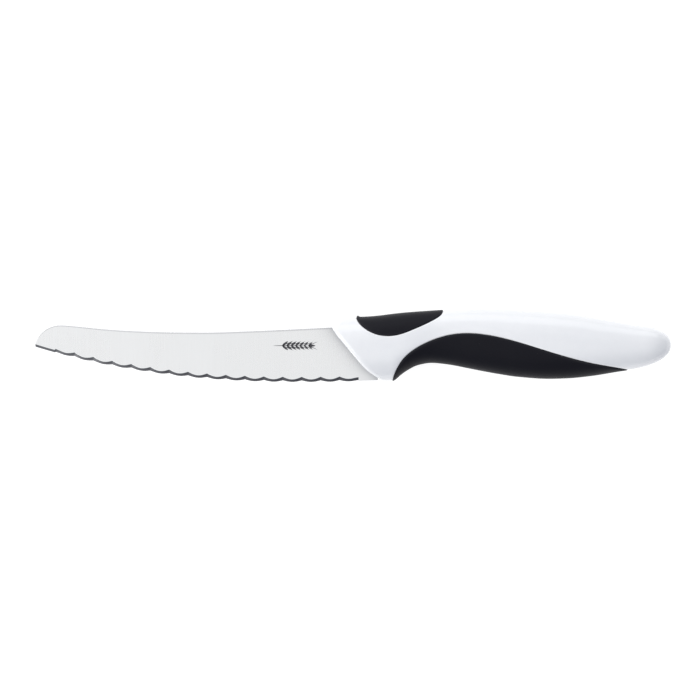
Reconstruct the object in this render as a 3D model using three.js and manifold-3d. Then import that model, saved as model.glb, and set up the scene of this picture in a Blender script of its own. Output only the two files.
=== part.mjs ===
// Bread knife with a wavy edge and a two-colour moulded handle, lying flat on its side. Millimetres.
//   X runs along the knife, tip towards -X and butt towards +X.
//   Y runs across the blade, cutting edge towards -Y and spine towards +Y.
//   Z runs through the thickness, up.
// It is drawn with x = 0 and y = 0 at the foot of the heel and z = 0 in the middle of the blade. At the end
// the group is moved, so that the origin is under the middle of the knife, on the surface that it lies on.

import * as THREE from 'three';
import { mergeVertices } from 'three/addons/utils/BufferGeometryUtils.js';
import Module from 'manifold-3d';

const wasm = await Module();
wasm.setup();

// ---- Driving dimensions -------------------------------------------------------------------------

// Blade
const BLADE_LENGTH = 127; // tip to heel
const BLADE_HEIGHT = 19.6; // edge to spine, where the blade enters the collar
const NOSE_RADIUS = 9.7; // the rounded nose
const TIP_RISE = 12.5; // how far the edge has swept up by the tip
const EDGE_DROP = 0.62; // how far the edge sags below the heel on its way
const STOCK = 1.5; // thickness of the steel at the spine and in the tang
const EDGE_STOCK = 0.56; // thickness behind the edge at the heel, after grinding
const TIP_THINNING = 0.54; // how much thinner the steel is at the tip than at the heel

// Wavy edge, ground from the +Z side only
const WAVE_PITCH = 7.005;
const WAVE_DEPTH = 0.54; // lobe to notch, along the cutting edge
const BEVEL_WAVE = 0.85; // lobe to notch, along the top of the bevel
const BEVEL_HEIGHT = 0.95; // bevel top above the edge, at a lobe
const EDGE_LAND = 0.08; // what is left of the thickness at the edge
const PLAIN_NOSE = 7.55; // ground but not wavy
const PLAIN_HEEL = 7.3; // neither ground nor wavy

// Tang, hidden in the handle
const TANG_WIDTH = 8;
const TANG_TO_BUTT = 42; // steel end to handle end
const TANG_ROOT_MARGIN = 5.5; // tang root above the heel's edge
const HOLE_DIAMETER = 4;
const HOLE_SPACING = 16;

// Handle
const HANDLE_LENGTH = 125.4; // collar tip to butt
const HANDLE_THICKNESS = 18;
const FLANK_FLAT = 0.25; // taken off each flank, so that the knife lies still on its side
const SPINE_COVER = 3.6; // plastic over the spine at the collar
const COLLAR_SLANT = THREE.MathUtils.degToRad(40.4); // collar front, from upright
const PLATE_TUCK = THREE.MathUtils.degToRad(11.5); // how much steeper the hidden end of the ground blade is
const COLLAR_FOOT = 0.6; // collar front, ahead of the heel at the edge
const COLLAR_STEP = 1.3; // short ledge over the spine, along the handle
const COLLAR_BROW = 1.9; // top front of the collar, behind its tip
const HEEL_STANDOFF = 1.2; // end of the ground blade, ahead of the heel at the edge
const BUTT_ROUND = 10; // length of the rounded end
const SECTION_POWER = 2.4; // 2 is an ellipse, more is squarer

// Soft grips and hidden core
const PAD_DEPTH = 2; // thickness of the grips
const PAD_PROUD = 0.25; // how far they stand above the white plastic
const SKIN_WALL = 1.3; // white plastic between the grips and the core
const CORE_START = 12; // core front, behind the heel
const CORE_END_WALL = 8; // core beyond the end of the tang
const GAP = 0.3; // clearance between neighbouring pieces

// The handle's outline and the spine are drawn once at these sizes, then stretched to the sizes above.
const DRAWN_HANDLE_LENGTH = 125.4;
const DRAWN_COLLAR_HEIGHT = 23.2;
const DRAWN_THICKNESS = 18;
const DRAWN_BLADE = { length: 127, height: 19.6 };

// Fineness of the facets
const STEPS_PER_WAVE = 6;
const NOSE_STEPS = 10;
const RING_POINTS = 24;
const LOFT_STEP = 4.4;
const PAD_CURVE_STEPS = 26;
const BEYOND = 60; // reach of cutting tools past the knife

// ---- Helpers ------------------------------------------------------------------------------------

/** A smooth line through [x, y] points as a function of x, which never swings past its points. */
function smoothLine(points) {
  const last = points.length - 2;
  const slope = (i) => (points[i + 1][1] - points[i][1]) / (points[i + 1][0] - points[i][0]);
  const tangents = points.map((_, i) => {
    const before = slope(Math.max(i - 1, 0));
    const after = slope(Math.min(i, last));
    return before * after <= 0 ? 0 : (2 * before * after) / (before + after);
  });
  return (x) => {
    let i = 0;
    while (i < last && x > points[i + 1][0]) i += 1;
    const [x0, y0] = points[i];
    const [x1, y1] = points[i + 1];
    const t = THREE.MathUtils.clamp((x - x0) / (x1 - x0), 0, 1);
    const bend = (x1 - x0) * t * (1 - t);
    const blend = t * t * (3 - 2 * t);
    return y0 + (y1 - y0) * blend + bend * ((1 - t) * tangents[i] - t * tangents[i + 1]);
  };
}

/** A closed solid over a row of equal rings of points, closed by a flat fan at each end. */
function loftRings(rings) {
  const size = rings[0].length;
  const positions = [];
  const index = [];
  rings.forEach((ring) => ring.forEach((p) => positions.push(p.x, p.y, p.z)));
  for (let r = 0; r + 1 < rings.length; r += 1) {
    for (let i = 0; i < size; i += 1) {
      const a = r * size + i;
      const b = r * size + ((i + 1) % size);
      index.push(a, b, a + size, b, b + size, a + size);
    }
  }
  [rings[0], rings[rings.length - 1]].forEach((ring, end) => {
    const hub = ring.reduce((sum, p) => sum.add(p), new THREE.Vector3()).divideScalar(size);
    const first = end * (rings.length - 1) * size;
    const centre = positions.length / 3;
    positions.push(hub.x, hub.y, hub.z);
    for (let i = 0; i < size; i += 1) {
      const a = first + i;
      const b = first + ((i + 1) % size);
      index.push(centre, end ? a : b, end ? b : a);
    }
  });
  const geometry = new THREE.BufferGeometry();
  geometry.setAttribute('position', new THREE.Float32BufferAttribute(positions, 3));
  geometry.setIndex(index);
  return toSolid(geometry);
}

/** A manifold-3d solid from a closed three.js geometry. */
function toSolid(geometry) {
  const bare = geometry.clone();
  bare.deleteAttribute('normal');
  bare.deleteAttribute('uv');
  const merged = mergeVertices(bare, 1e-4);
  return new wasm.Manifold(
    new wasm.Mesh({
      numProp: 3,
      vertProperties: new Float32Array(merged.attributes.position.array),
      triVerts: new Uint32Array(merged.index.array),
    }),
  );
}

/** A three.js geometry from a manifold-3d solid. */
function toGeometry(solid) {
  const mesh = solid.getMesh();
  const geometry = new THREE.BufferGeometry();
  geometry.setAttribute('position', new THREE.BufferAttribute(new Float32Array(mesh.vertProperties), 3));
  geometry.setIndex(new THREE.BufferAttribute(new Uint32Array(mesh.triVerts), 1));
  geometry.computeVertexNormals();
  return geometry;
}

/** An upright prism over an outline of points, from -half to +half in Z. */
function prism(outline, half) {
  const shape = new THREE.Shape(outline.map(([x, y]) => new THREE.Vector2(x, y)));
  const geometry = new THREE.ExtrudeGeometry(shape, { depth: 2 * half, bevelEnabled: false });
  geometry.translate(0, 0, -half);
  return toSolid(geometry);
}

/** A round bar through the whole thickness. */
function crossBar(x, y, diameter, half) {
  const geometry = new THREE.CylinderGeometry(diameter / 2, diameter / 2, 2 * half, 20);
  geometry.rotateX(Math.PI / 2);
  geometry.translate(x, y, 0);
  return toSolid(geometry);
}

// ---- Blade outline ------------------------------------------------------------------------------

const SPINE_POINTS = [
  [-127, 20.45],
  [-117.3, 20.4],
  [-110, 19.8],
  [-101, 18.9],
  [-92, 18.3],
  [-77, 17.8],
  [-64, 17.7],
  [-48, 18.2],
  [-33, 18.85],
  [-17, 19.6],
  [0, 20],
];
const SWEEP_POWER = 3.2; // how late the edge sweeps up towards the tip
const SAG_END = 0.72; // share of the length over which the edge sags
const PLATE_FAN = 0.36; // share of the length over which the blade's stations lean over to the collar

const drawnSpine = smoothLine(SPINE_POINTS);

function spineLine(x) {
  return (drawnSpine((x * DRAWN_BLADE.length) / BLADE_LENGTH) * BLADE_HEIGHT) / DRAWN_BLADE.height;
}

const noseX = NOSE_RADIUS - BLADE_LENGTH;
const noseY = spineLine(noseX) - NOSE_RADIUS;

/** The blade's upper outline: the spine, then the round nose. */
function bladeTop(x) {
  if (x >= noseX) return spineLine(x);
  const reach = Math.min(noseX - x, NOSE_RADIUS);
  return noseY + Math.sqrt(NOSE_RADIUS ** 2 - reach ** 2);
}

/** The line that the lobes of the wavy edge touch. */
function edgeLine(x) {
  const share = Math.max(-x / BLADE_LENGTH, 0);
  const sag = Math.sin(Math.PI * Math.min(share / SAG_END, 1));
  return TIP_RISE * share ** SWEEP_POWER - EDGE_DROP * sag;
}

/** Half of the steel's thickness: both faces are true planes, thinning to the edge and to the tip. */
function halfThickness(x, y) {
  const across = ((STOCK - EDGE_STOCK) / 2) * (y / BLADE_HEIGHT);
  return EDGE_STOCK / 2 + across + (TIP_THINNING / 2) * (x / BLADE_LENGTH);
}

const waveCount = Math.floor((BLADE_LENGTH - PLAIN_NOSE - PLAIN_HEEL) / WAVE_PITCH);
const waveStart = PLAIN_NOSE - BLADE_LENGTH;
const waveEnd = waveStart + waveCount * WAVE_PITCH;
const FIRST_NOTCH = 0.3; // depth share of the first and last notch, which are cut shallower

/** How far into a notch the edge is, from 0 on a lobe to 1 in a full notch. */
function notchShare(x) {
  if (x < waveStart || x > waveEnd) return 0;
  const fade = Math.min(1, FIRST_NOTCH + Math.min(x - waveStart, waveEnd - x) / WAVE_PITCH);
  return fade * (1 - Math.abs(Math.sin((Math.PI * (x - waveStart)) / WAVE_PITCH)));
}

// The ground blade ends inside the collar, along a line a little steeper than the collar's front.
const plateSlope = Math.tan(COLLAR_SLANT - PLATE_TUCK);

function plateEnd(y) {
  return -HEEL_STANDOFF - y * plateSlope;
}

/** The five corners of the blade's section, whose foot is at x; grow gives a slot with that clearance. */
function bladeRing(x, grow = 0) {
  const fanStart = -BLADE_LENGTH * PLATE_FAN;
  const lean = Math.max((x - fanStart) / (-HEEL_STANDOFF - fanStart), 0);
  const topX = x - lean * plateSlope * BLADE_HEIGHT;
  const topY = bladeTop(topX) + grow;
  const ground = x <= waveEnd;
  const level = edgeLine(x);
  const footY = level + WAVE_DEPTH * notchShare(x) - grow;
  const bevelY = level + BEVEL_HEIGHT + BEVEL_WAVE * notchShare(x);
  // The bevel stands straight over the edge along the wave, and leans with the rest by the heel.
  const toHeel = THREE.MathUtils.clamp((x - waveEnd) / (-HEEL_STANDOFF - waveEnd), 0, 1);
  const bevelX = THREE.MathUtils.lerp(x, topX, (toHeel * (bevelY - footY)) / (topY - footY));
  const topHalf = halfThickness(topX, topY) + grow;
  const footHalf = halfThickness(x, footY) + grow;
  const footFront = ground && grow === 0 ? EDGE_LAND - footHalf : footHalf;
  return [
    new THREE.Vector3(topX, topY, -topHalf),
    new THREE.Vector3(topX, topY, topHalf),
    new THREE.Vector3(bevelX, bevelY, halfThickness(bevelX, bevelY) + grow),
    new THREE.Vector3(x, footY, footFront),
    new THREE.Vector3(x, footY, -footHalf),
  ];
}

/** Where along the edge the blade's sections stand, tip first. */
function bladeStations() {
  const END_FACE = 1.1; // height of the small flat that closes the blade at the tip, above the bevel
  let tip = -BLADE_LENGTH;
  while (bladeTop(tip) - edgeLine(tip) < END_FACE) tip += 0.02;
  const stations = [];
  for (let i = 0; i < NOSE_STEPS; i += 1) {
    const swing = (Math.PI / 2) * (i / NOSE_STEPS);
    stations.push(tip + (waveStart - tip) * (1 - Math.cos(swing)));
  }
  for (let i = 0; i <= waveCount * STEPS_PER_WAVE; i += 1) {
    stations.push(waveStart + (i * WAVE_PITCH) / STEPS_PER_WAVE);
  }
  const HEEL_STEPS = 3;
  for (let i = 0; i <= HEEL_STEPS; i += 1) {
    const from = waveEnd + GAP;
    stations.push(from + ((-HEEL_STANDOFF - from) * i) / HEEL_STEPS);
  }
  return stations;
}

// ---- Handle outline -----------------------------------------------------------------------------

// Drawn from the collar's tip: x along the handle, y above the heel's edge.
const HANDLE_TOP = [
  [0, 22.5],
  [5.3, 23.1],
  [14.3, 23.4],
  [25.3, 24.7],
  [40.3, 25.8],
  [54.3, 26.7],
  [65.3, 26.4],
  [85.3, 25.1],
  [103.3, 22.2],
  [112.3, 20.6],
  [125.4, 18.8],
];
const HANDLE_BOTTOM = [
  [0, -0.15],
  [22.3, -0.15],
  [23.1, 0.1],
  [25.3, 2],
  [27.8, 3.8],
  [31.8, 5.8],
  [36.8, 6.65],
  [42.8, 6.1],
  [51.8, 4.4],
  [60.8, 2.7],
  [69.3, 1.45],
  [80.3, 0.75],
  [87.3, 0.95],
  [96.3, 1.85],
  [105.3, 3.3],
  [113.8, 4.6],
  [118.3, 5.8],
  [125.4, 7.4],
];
const HANDLE_HALF = [
  [0, 8.2],
  [17.3, 9],
  [26.3, 8.8],
  [40.3, 7.6],
  [60.3, 8.4],
  [78.3, 9],
  [95.3, 8.5],
  [112.3, 7.4],
  [125.4, 6.4],
];

const collarTip = -COLLAR_FOOT - BLADE_HEIGHT * Math.tan(COLLAR_SLANT);
const buttX = collarTip + HANDLE_LENGTH;
const lengthScale = HANDLE_LENGTH / DRAWN_HANDLE_LENGTH;
const heightScale = (BLADE_HEIGHT + SPINE_COVER) / DRAWN_COLLAR_HEIGHT;
const thicknessScale = HANDLE_THICKNESS / DRAWN_THICKNESS;
const flankHalf = HANDLE_THICKNESS / 2 - FLANK_FLAT;

const drawnTop = smoothLine(HANDLE_TOP);
const drawnBottom = smoothLine(HANDLE_BOTTOM);
const drawnHalf = smoothLine(HANDLE_HALF);

/** A point of the handle's drawing, in the knife's own place and size. */
function onHandle([x, y]) {
  return [collarTip + x * lengthScale, y * heightScale];
}

/** Top, bottom and half thickness of the handle at x, before its end is rounded. */
function handleAt(x) {
  const drawn = (x - collarTip) / lengthScale;
  return {
    top: drawnTop(drawn) * heightScale,
    bottom: drawnBottom(drawn) * heightScale,
    half: drawnHalf(drawn) * thicknessScale,
  };
}

/** How much of the full section is left at x, on a handle that is smaller all round by inset. */
function buttFullness(x, inset) {
  const into = (x - (buttX - BUTT_ROUND)) / (BUTT_ROUND - inset);
  if (into <= 0) return 1;
  return (1 - Math.min(into, 1) ** SECTION_POWER) ** (1 / SECTION_POWER);
}

/** One ring of the handle, smaller all round by inset. */
function handleRing(x, inset) {
  const { top, bottom, half } = handleAt(x);
  const fullness = buttFullness(x, inset);
  const tall = ((top - bottom) / 2 - inset) * fullness;
  const wide = (half - inset) * fullness;
  const ring = [];
  for (let i = 0; i < RING_POINTS; i += 1) {
    const angle = (2 * Math.PI * i) / RING_POINTS;
    const c = Math.cos(angle);
    const s = Math.sin(angle);
    const y = Math.sign(c) * Math.abs(c) ** (2 / SECTION_POWER);
    const z = Math.sign(s) * Math.abs(s) ** (2 / SECTION_POWER);
    ring.push(new THREE.Vector3(x, (top + bottom) / 2 + tall * y, wide * z));
  }
  return ring;
}

/** The handle's form between two places, smaller all round by inset. */
function handleForm(inset, from, to) {
  const straightEnd = Math.min(to, buttX - BUTT_ROUND);
  const steps = Math.ceil((straightEnd - from) / LOFT_STEP);
  const rings = [];
  for (let i = 0; i <= steps; i += 1) {
    rings.push(handleRing(from + ((straightEnd - from) * i) / steps, inset));
  }
  const ROUND_STEPS = 7;
  const LAST_RING = 0.999; // the round end stops just short of its pole, so that its last ring has a size
  const roundLength = to - straightEnd;
  for (let i = 1; roundLength > 0 && i <= ROUND_STEPS; i += 1) {
    const reach = LAST_RING * Math.sin((Math.PI / 2) * (i / ROUND_STEPS));
    rings.push(handleRing(straightEnd + roundLength * reach, inset));
  }
  return loftRings(rings);
}

/** Everything ahead of the collar's front: its long slant, then the short nose over the spine. */
function collarCutter() {
  const slope = Math.tan(COLLAR_SLANT);
  const spine = BLADE_HEIGHT;
  return prism(
    [
      [-BLADE_LENGTH - BEYOND, -BEYOND],
      [-COLLAR_FOOT + BEYOND * slope, -BEYOND],
      [collarTip, spine],
      [collarTip + COLLAR_STEP, spine + SPINE_COVER / 4],
      [collarTip + COLLAR_BROW, spine + SPINE_COVER],
      [collarTip + COLLAR_BROW, spine + BEYOND],
      [-BLADE_LENGTH - BEYOND, spine + BEYOND],
    ],
    BEYOND,
  );
}

/** The space between the two flattened flanks. */
function betweenFlanks() {
  const size = 4 * (BLADE_LENGTH + HANDLE_LENGTH);
  return toSolid(new THREE.BoxGeometry(size, size, 2 * flankHalf));
}

const THUMB_EDGE = [
  [8.9, 24.6],
  [9.2, 22.9],
  [11.8, 19.5],
  [16.2, 17.1],
  [20.6, 16.4],
  [25.1, 17],
  [29.5, 18.6],
  [34, 20.6],
  [38.4, 22.9],
  [40.7, 24.9],
  [41.3, 27.4],
];
const BELLY_EDGE = [
  [22.4, -1.6],
  [22.8, 1.2],
  [23.8, 3.9],
  [26, 7.5],
  [30.1, 11.2],
  [35.5, 14.2],
  [41, 16.2],
  [47.3, 17.3],
  [56.2, 16.9],
  [69.5, 13.8],
  [87.2, 8.3],
  [96.1, 6.1],
  [105, 4.55],
  [115.3, 2.9],
];

/** A prism over the part of the handle that a grip covers; side is +1 above its edge line and -1 below. */
function gripPrism(edge, side, grow) {
  const curve = new THREE.SplineCurve(edge.map((point) => new THREE.Vector2(...onHandle(point))));
  const outline = [];
  for (let i = 0; i <= PAD_CURVE_STEPS; i += 1) {
    const point = curve.getPoint(i / PAD_CURVE_STEPS);
    const tangent = curve.getTangent(i / PAD_CURVE_STEPS);
    outline.push([point.x + side * tangent.y * grow, point.y - side * tangent.x * grow]);
  }
  const first = outline[0];
  const last = outline[outline.length - 1];
  outline.push([last[0], last[1] + side * BEYOND]);
  outline.push([first[0], first[1] + side * BEYOND]);
  return prism(outline, BEYOND);
}

// ---- Tang ---------------------------------------------------------------------------------------

const tangEnd = buttX - TANG_TO_BUTT;

function handleMiddle(x) {
  const { top, bottom } = handleAt(x);
  return (top + bottom) / 2;
}

/** The tang's middle line, straight from the core's front to its end. */
function tangMiddle(x) {
  const share = (x - CORE_START) / (tangEnd - CORE_START);
  return THREE.MathUtils.lerp(handleMiddle(CORE_START + TANG_WIDTH), handleMiddle(tangEnd), share);
}

/** The tang's outline; grow gives the slot that it lies in. */
function tangOutline(grow) {
  const OVERLAP = 0.5; // how far the tang's root reaches into the ground blade
  const END_CHAMFER = 2;
  const rootBottom = TANG_ROOT_MARGIN - grow;
  const rootTop = BLADE_HEIGHT - SPINE_COVER / 2 + grow;
  const half = TANG_WIDTH / 2 + grow;
  const end = tangEnd + grow;
  return [
    [plateEnd(rootBottom) - OVERLAP - grow, rootBottom],
    [0, rootBottom + 1],
    [CORE_START, tangMiddle(CORE_START) - half],
    [end - END_CHAMFER, tangMiddle(end) - half],
    [end, tangMiddle(end) - half + END_CHAMFER],
    [end, tangMiddle(end) + half - END_CHAMFER],
    [end - END_CHAMFER, tangMiddle(end) + half],
    [CORE_START, tangMiddle(CORE_START) + half],
    [plateEnd(rootTop) - OVERLAP - grow, rootTop],
  ];
}

/** The centres of the holes that lock the core to the tang. */
function holeCentres() {
  const first = CORE_START + HOLE_SPACING / 2;
  const count = Math.floor((tangEnd - HOLE_DIAMETER - first) / HOLE_SPACING) + 1;
  return Array.from({ length: count }, (_, i) => first + i * HOLE_SPACING).map((x) => [x, tangMiddle(x)]);
}

// ---- Pieces -------------------------------------------------------------------------------------

/** Blade and tang: one stamping, ground thin, with a wavy edge and lock holes. */
function makeBlade() {
  const plate = loftRings(bladeStations().map((x) => bladeRing(x)));
  let blade = plate.add(prism(tangOutline(0), STOCK / 2));
  holeCentres().forEach(([x, y]) => {
    blade = blade.subtract(crossBar(x, y, HOLE_DIAMETER, STOCK));
  });
  return blade;
}

/** The space that the blade and tang need inside the handle, with clearance. */
function steelSlot() {
  const root = [-BLADE_LENGTH * PLATE_FAN, (-BLADE_LENGTH * PLATE_FAN) / 2, -HEEL_STANDOFF + GAP];
  const plate = loftRings(root.map((x) => bladeRing(x, GAP)));
  return plate.add(prism(tangOutline(GAP), STOCK / 2 + GAP));
}

const coreInset = PAD_DEPTH + GAP + SKIN_WALL + GAP;
const coreEnd = tangEnd + CORE_END_WALL;

/** The hard core, moulded round the tang and through its holes. */
function makeTangCore() {
  let core = handleForm(coreInset, CORE_START, coreEnd).subtract(steelSlot());
  holeCentres().forEach(([x, y]) => {
    core = core.add(crossBar(x, y, HOLE_DIAMETER - 2 * GAP, STOCK));
  });
  return core;
}

/** The white handle: its form, less the grips' beds, the core and the steel. */
function makeHandleBody() {
  const skin = handleForm(0, collarTip - LOFT_STEP, buttX)
    .intersect(betweenFlanks())
    .subtract(gripPrism(THUMB_EDGE, 1, GAP))
    .subtract(gripPrism(BELLY_EDGE, -1, GAP));
  const bed = handleForm(PAD_DEPTH + GAP, collarTip + LOFT_STEP, buttX - BUTT_ROUND);
  return skin
    .add(bed)
    .subtract(collarCutter())
    .subtract(handleForm(coreInset - GAP, CORE_START - GAP, coreEnd + GAP))
    .subtract(steelSlot());
}

/** A soft grip: a shell that follows the handle's form, inside its own edge line. */
function makeGrip(edge, side) {
  return handleForm(-PAD_PROUD, collarTip - LOFT_STEP, buttX - BUTT_ROUND)
    .intersect(betweenFlanks())
    .intersect(gripPrism(edge, side, 0))
    .subtract(handleForm(PAD_DEPTH, collarTip - 2 * LOFT_STEP, buttX - BUTT_ROUND + LOFT_STEP));
}

// ---- Assembly -----------------------------------------------------------------------------------

const knife = new THREE.Group();

function addPiece(name, solid, colour, roughness, metalness) {
  const material = new THREE.MeshStandardMaterial({ color: colour, roughness, metalness });
  const mesh = new THREE.Mesh(toGeometry(solid), material);
  mesh.name = name;
  knife.add(mesh);
}

addPiece('blade', makeBlade(), 0xd9dcdf, 0.3, 1);
addPiece('tang_core', makeTangCore(), 0xb9bdc2, 0.6, 0);
addPiece('handle_body', makeHandleBody(), 0xf3f5f7, 0.2, 0);
addPiece('thumb_grip', makeGrip(THUMB_EDGE, 1), 0x1b1b1d, 0.6, 0);
addPiece('belly_grip', makeGrip(BELLY_EDGE, -1), 0x1b1b20, 0.6, 0);

// The origin goes under the middle of the knife, on the surface that it lies on.
const box = new THREE.Box3().setFromObject(knife);
const middle = box.getCenter(new THREE.Vector3());
knife.position.set(-middle.x, -middle.y, -box.min.z);

export default knife;
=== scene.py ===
# %% [markdown]
# # A bread knife with a two-colour handle
# The knife lies flat on its side: X runs from the tip to the butt, Y from the cutting edge to the spine and Z up.
# The engineering model gives the places and sizes. This file builds the surfaces that the eye sees around it, one
# step at a time, and each step says what the real piece is and which of Blender's tools suit it.

# %% Load the engineering model
import math

import bmesh
import bpy
import numpy as np
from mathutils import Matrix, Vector
from mathutils.kdtree import KDTree


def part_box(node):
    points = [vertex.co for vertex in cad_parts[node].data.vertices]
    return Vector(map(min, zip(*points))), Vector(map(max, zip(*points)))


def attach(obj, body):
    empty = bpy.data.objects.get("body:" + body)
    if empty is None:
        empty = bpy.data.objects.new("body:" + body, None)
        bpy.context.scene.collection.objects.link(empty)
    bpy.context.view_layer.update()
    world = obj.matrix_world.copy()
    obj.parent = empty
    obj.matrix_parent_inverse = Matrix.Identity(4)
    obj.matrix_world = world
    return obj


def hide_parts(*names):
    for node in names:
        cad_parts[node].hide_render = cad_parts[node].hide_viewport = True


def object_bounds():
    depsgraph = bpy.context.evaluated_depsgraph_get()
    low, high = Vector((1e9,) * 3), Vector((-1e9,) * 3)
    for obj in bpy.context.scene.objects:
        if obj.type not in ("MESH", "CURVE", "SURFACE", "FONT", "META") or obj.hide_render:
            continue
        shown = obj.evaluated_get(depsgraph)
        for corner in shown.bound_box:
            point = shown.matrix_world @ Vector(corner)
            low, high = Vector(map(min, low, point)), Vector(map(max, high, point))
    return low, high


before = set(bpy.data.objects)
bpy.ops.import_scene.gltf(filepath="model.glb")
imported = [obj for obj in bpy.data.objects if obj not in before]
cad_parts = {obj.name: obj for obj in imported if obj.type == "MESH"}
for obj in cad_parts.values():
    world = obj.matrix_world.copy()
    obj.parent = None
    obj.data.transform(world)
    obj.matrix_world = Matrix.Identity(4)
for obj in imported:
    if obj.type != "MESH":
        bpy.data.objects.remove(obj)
cad_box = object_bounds()
print("engineering nodes:", sorted(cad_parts))

# %% [markdown]
# ## Measures
# Knife makers draw in millimetres, and Blender works in metres. Every outline below is drawn in millimetres from
# the foot of the heel, where the cutting edge meets the collar, and moved to its place by one function. The place
# itself comes from the engineering model's boxes.

# %% The drawing's origin and main sizes
MM = 0.001
BLADE_LENGTH = 127.0
COLLAR_REACH = 17.28
COLLAR_FOOT_DROP = 0.15

blade_low, blade_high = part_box("blade")
body_low, body_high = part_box("handle_body")
heel = Vector((
    body_low.x + COLLAR_REACH * MM,
    body_low.y + COLLAR_FOOT_DROP * MM,
    (blade_low.z + blade_high.z) / 2,
))
collar_tip = (body_low.x - heel.x) / MM
handle_length = (body_high.x - body_low.x) / MM
flank_half = (body_high.z - body_low.z) / MM / 2
print(f"collar tip {collar_tip:.2f} mm from the heel, handle {handle_length:.1f} mm long")


def to_place(points):
    """Drawing millimetres to metres in the model's frame."""
    return np.asarray(points, float) * MM + np.array(heel)


# %% [markdown]
# ## Helpers for outlines
# A designer draws a handle with a few points and a flexible batten. A natural cubic spline is that batten: it passes
# through the points and bends as little as it can, so the gloss on the plastic stays free of kinks.

# %% Splines
def batten(points):
    """A natural cubic spline through [x, y] points, as a function of x."""
    xs, ys = np.array(points, float).T
    gap = np.diff(xs)
    count = len(xs)
    system = np.eye(count)
    pull = np.zeros(count)
    for i in range(1, count - 1):
        system[i, i - 1:i + 2] = gap[i - 1], 2 * (gap[i - 1] + gap[i]), gap[i]
        pull[i] = 6 * ((ys[i + 1] - ys[i]) / gap[i] - (ys[i] - ys[i - 1]) / gap[i - 1])
    bend = np.linalg.solve(system, pull)

    def value(x):
        x = np.clip(x, xs[0], xs[-1])
        i = np.clip(np.searchsorted(xs, x) - 1, 0, count - 2)
        left = x - xs[i]
        right = xs[i + 1] - x
        straight = (ys[i] * right + ys[i + 1] * left) / gap[i]
        curved = bend[i] * (right**3 / gap[i] - gap[i] * right) + bend[i + 1] * (left**3 / gap[i] - gap[i] * left)
        return straight + curved / 6

    return value


def flexible_line(points, count):
    """Points along a smooth free line through the given points."""
    points = np.array(points, float)
    along = np.concatenate([[0], np.cumsum(np.hypot(*np.diff(points, axis=0).T))])
    steps = np.linspace(0, along[-1], count)
    return np.stack([batten(np.stack([along, points[:, k]], 1))(steps) for k in (0, 1)], 1)


def ease(t):
    """From 0 to 1 with a soft start and a soft end."""
    t = np.clip(t, 0, 1)
    return t * t * (3 - 2 * t)


# %% [markdown]
# ## Helpers for meshes
# Every piece here is a row of rings, like ribs in a boat. Rings that shrink to a point leave doubled corners, which
# are merged. Then the normals are turned outwards, and edges sharper than a limit are marked sharp, so the rest can
# be shaded smooth.

# %% Ring meshes
MERGE_DISTANCE = 1e-6


def paint(mesh, material):
    """Make this the only material of a mesh."""
    mesh.materials.clear()
    mesh.materials.append(material)


def plain_mesh(source):
    """The shape that an object has after its curve settings or modifiers, as a mesh."""
    graph = bpy.context.evaluated_depsgraph_get()
    return bpy.data.meshes.new_from_object(source.evaluated_get(graph), depsgraph=graph)


def put_in_scene(name, data):
    """A new object at the origin that holds a mesh, curve, camera or light."""
    made = bpy.data.objects.new(name, data)
    bpy.context.scene.collection.objects.link(made)
    return made


def ring_faces(rings, size):
    """Quads between neighbouring rings of equal size, each ring closed on itself."""
    faces = []
    for r in range(rings - 1):
        for i in range(size):
            a = r * size + i
            b = r * size + (i + 1) % size
            faces.append((a, b, b + size, a + size))
    return faces


def ladder(start, size):
    """Faces that close a ring whose second half runs back beside the first, like the rungs of a ladder."""
    return [(start + i, start + i + 1, start + size - 2 - i, start + size - 1 - i) for i in range(size // 2 - 1)]


def make_piece(name, points, faces, sharp_degrees, material, attributes=None):
    """A clean, closed mesh object from drawing points, with smooth shading between its sharp edges."""
    mesh = bpy.data.meshes.new(name)
    mesh.from_pydata(to_place(points).tolist(), [], faces)
    for label, values in (attributes or {}).items():
        layer = mesh.attributes.new(label, "FLOAT", "POINT")
        layer.data.foreach_set("value", np.asarray(values, np.float32))
    finish_mesh(mesh, sharp_degrees)
    paint(mesh, material)
    return put_in_scene(name, mesh)


def finish_mesh(mesh, sharp_degrees):
    """Merge doubled corners, turn the faces outwards and mark the sharp edges."""
    shape = bmesh.new()
    shape.from_mesh(mesh)
    bmesh.ops.remove_doubles(shape, verts=shape.verts, dist=MERGE_DISTANCE)
    bmesh.ops.dissolve_degenerate(shape, edges=shape.edges, dist=MERGE_DISTANCE / 4)
    bmesh.ops.recalc_face_normals(shape, faces=shape.faces)
    for face in shape.faces:
        face.smooth = True
    for edge in shape.edges:
        closed = len(edge.link_faces) == 2
        edge.smooth = closed and edge.calc_face_angle() < math.radians(sharp_degrees)
    open_edges = sum(len(edge.link_faces) != 2 for edge in shape.edges)
    print(f"{mesh.name}: {len(shape.verts)} corners, {len(shape.faces)} faces, {open_edges} open edges")
    shape.to_mesh(mesh)
    shape.free()


# %% [markdown]
# ## Camera
# A product photographer hangs the camera high over the knife and uses a long lens, so that nothing looks bent.
# The frame is as wide as the knife and a margin of a few centimetres.

# %% Camera
FRAME_WIDTH = 259.0 * MM
LENS = 135.0
SENSOR = 36.0
AIM = Vector((-1.3, -1.95, 0)) * MM

middle = (Vector(cad_box[0]) + Vector(cad_box[1])) / 2
camera_data = bpy.data.cameras.new("studio_camera")
camera_data.lens = LENS
camera_data.sensor_width = SENSOR
camera_data.clip_start = 0.05
camera = put_in_scene("studio_camera", camera_data)
camera.location = middle + AIM + Vector((0, 0, FRAME_WIDTH * LENS / SENSOR))
bpy.context.scene.camera = camera
bpy.context.scene.view_settings.view_transform = "Standard"
print(f"camera {camera.location.z:.2f} m above the table")

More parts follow.
